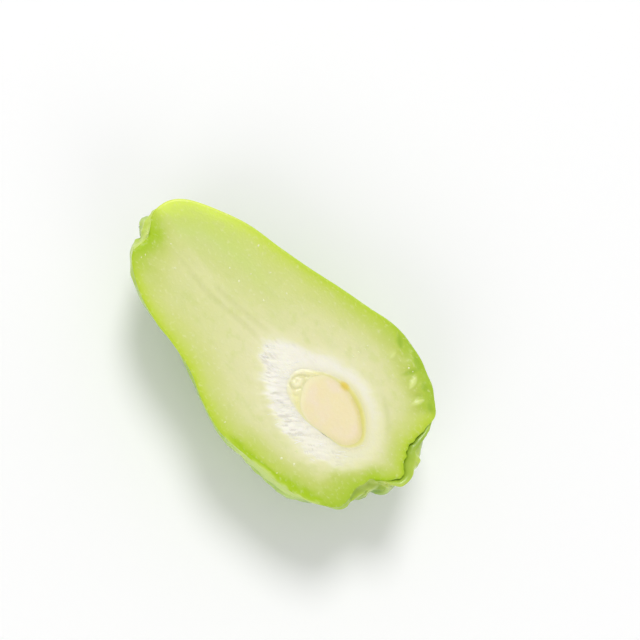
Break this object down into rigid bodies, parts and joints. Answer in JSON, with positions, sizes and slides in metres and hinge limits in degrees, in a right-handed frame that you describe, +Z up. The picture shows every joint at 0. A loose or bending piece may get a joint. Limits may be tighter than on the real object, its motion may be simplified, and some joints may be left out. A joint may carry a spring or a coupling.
{
  "type": "half chayote squash",
  "caption": "Half of a chayote squash cut lengthwise through its seed, lying on its furrowed green skin with the pale cut face up.",
  "frame": {"origin": "centre of the bounding box at its bottom, on the surface that the half rests on", "axes": "+X runs from the stem scar to the blossom end, +Y runs across the cut face towards its fuller side, +Z is up, out of the cut face"},
  "size_m": [0.1404, 0.0768, 0.0354],
  "materials": {
    "fruit": "smooth glossy green skin; moist cut flesh, yellow-green at the rim, cream inside, white and spongy round the seed",
    "seed_coat": "soft moist pale yellow coat, crumpled at the stem side",
    "seed_kernel": "smooth satin cream kernel"
  },
  "bodies": {
    "root": {"fruit_half": "fruit", "seed_coat": "seed_coat", "seed_kernel": "seed_kernel"}
  },
  "joints": []
}
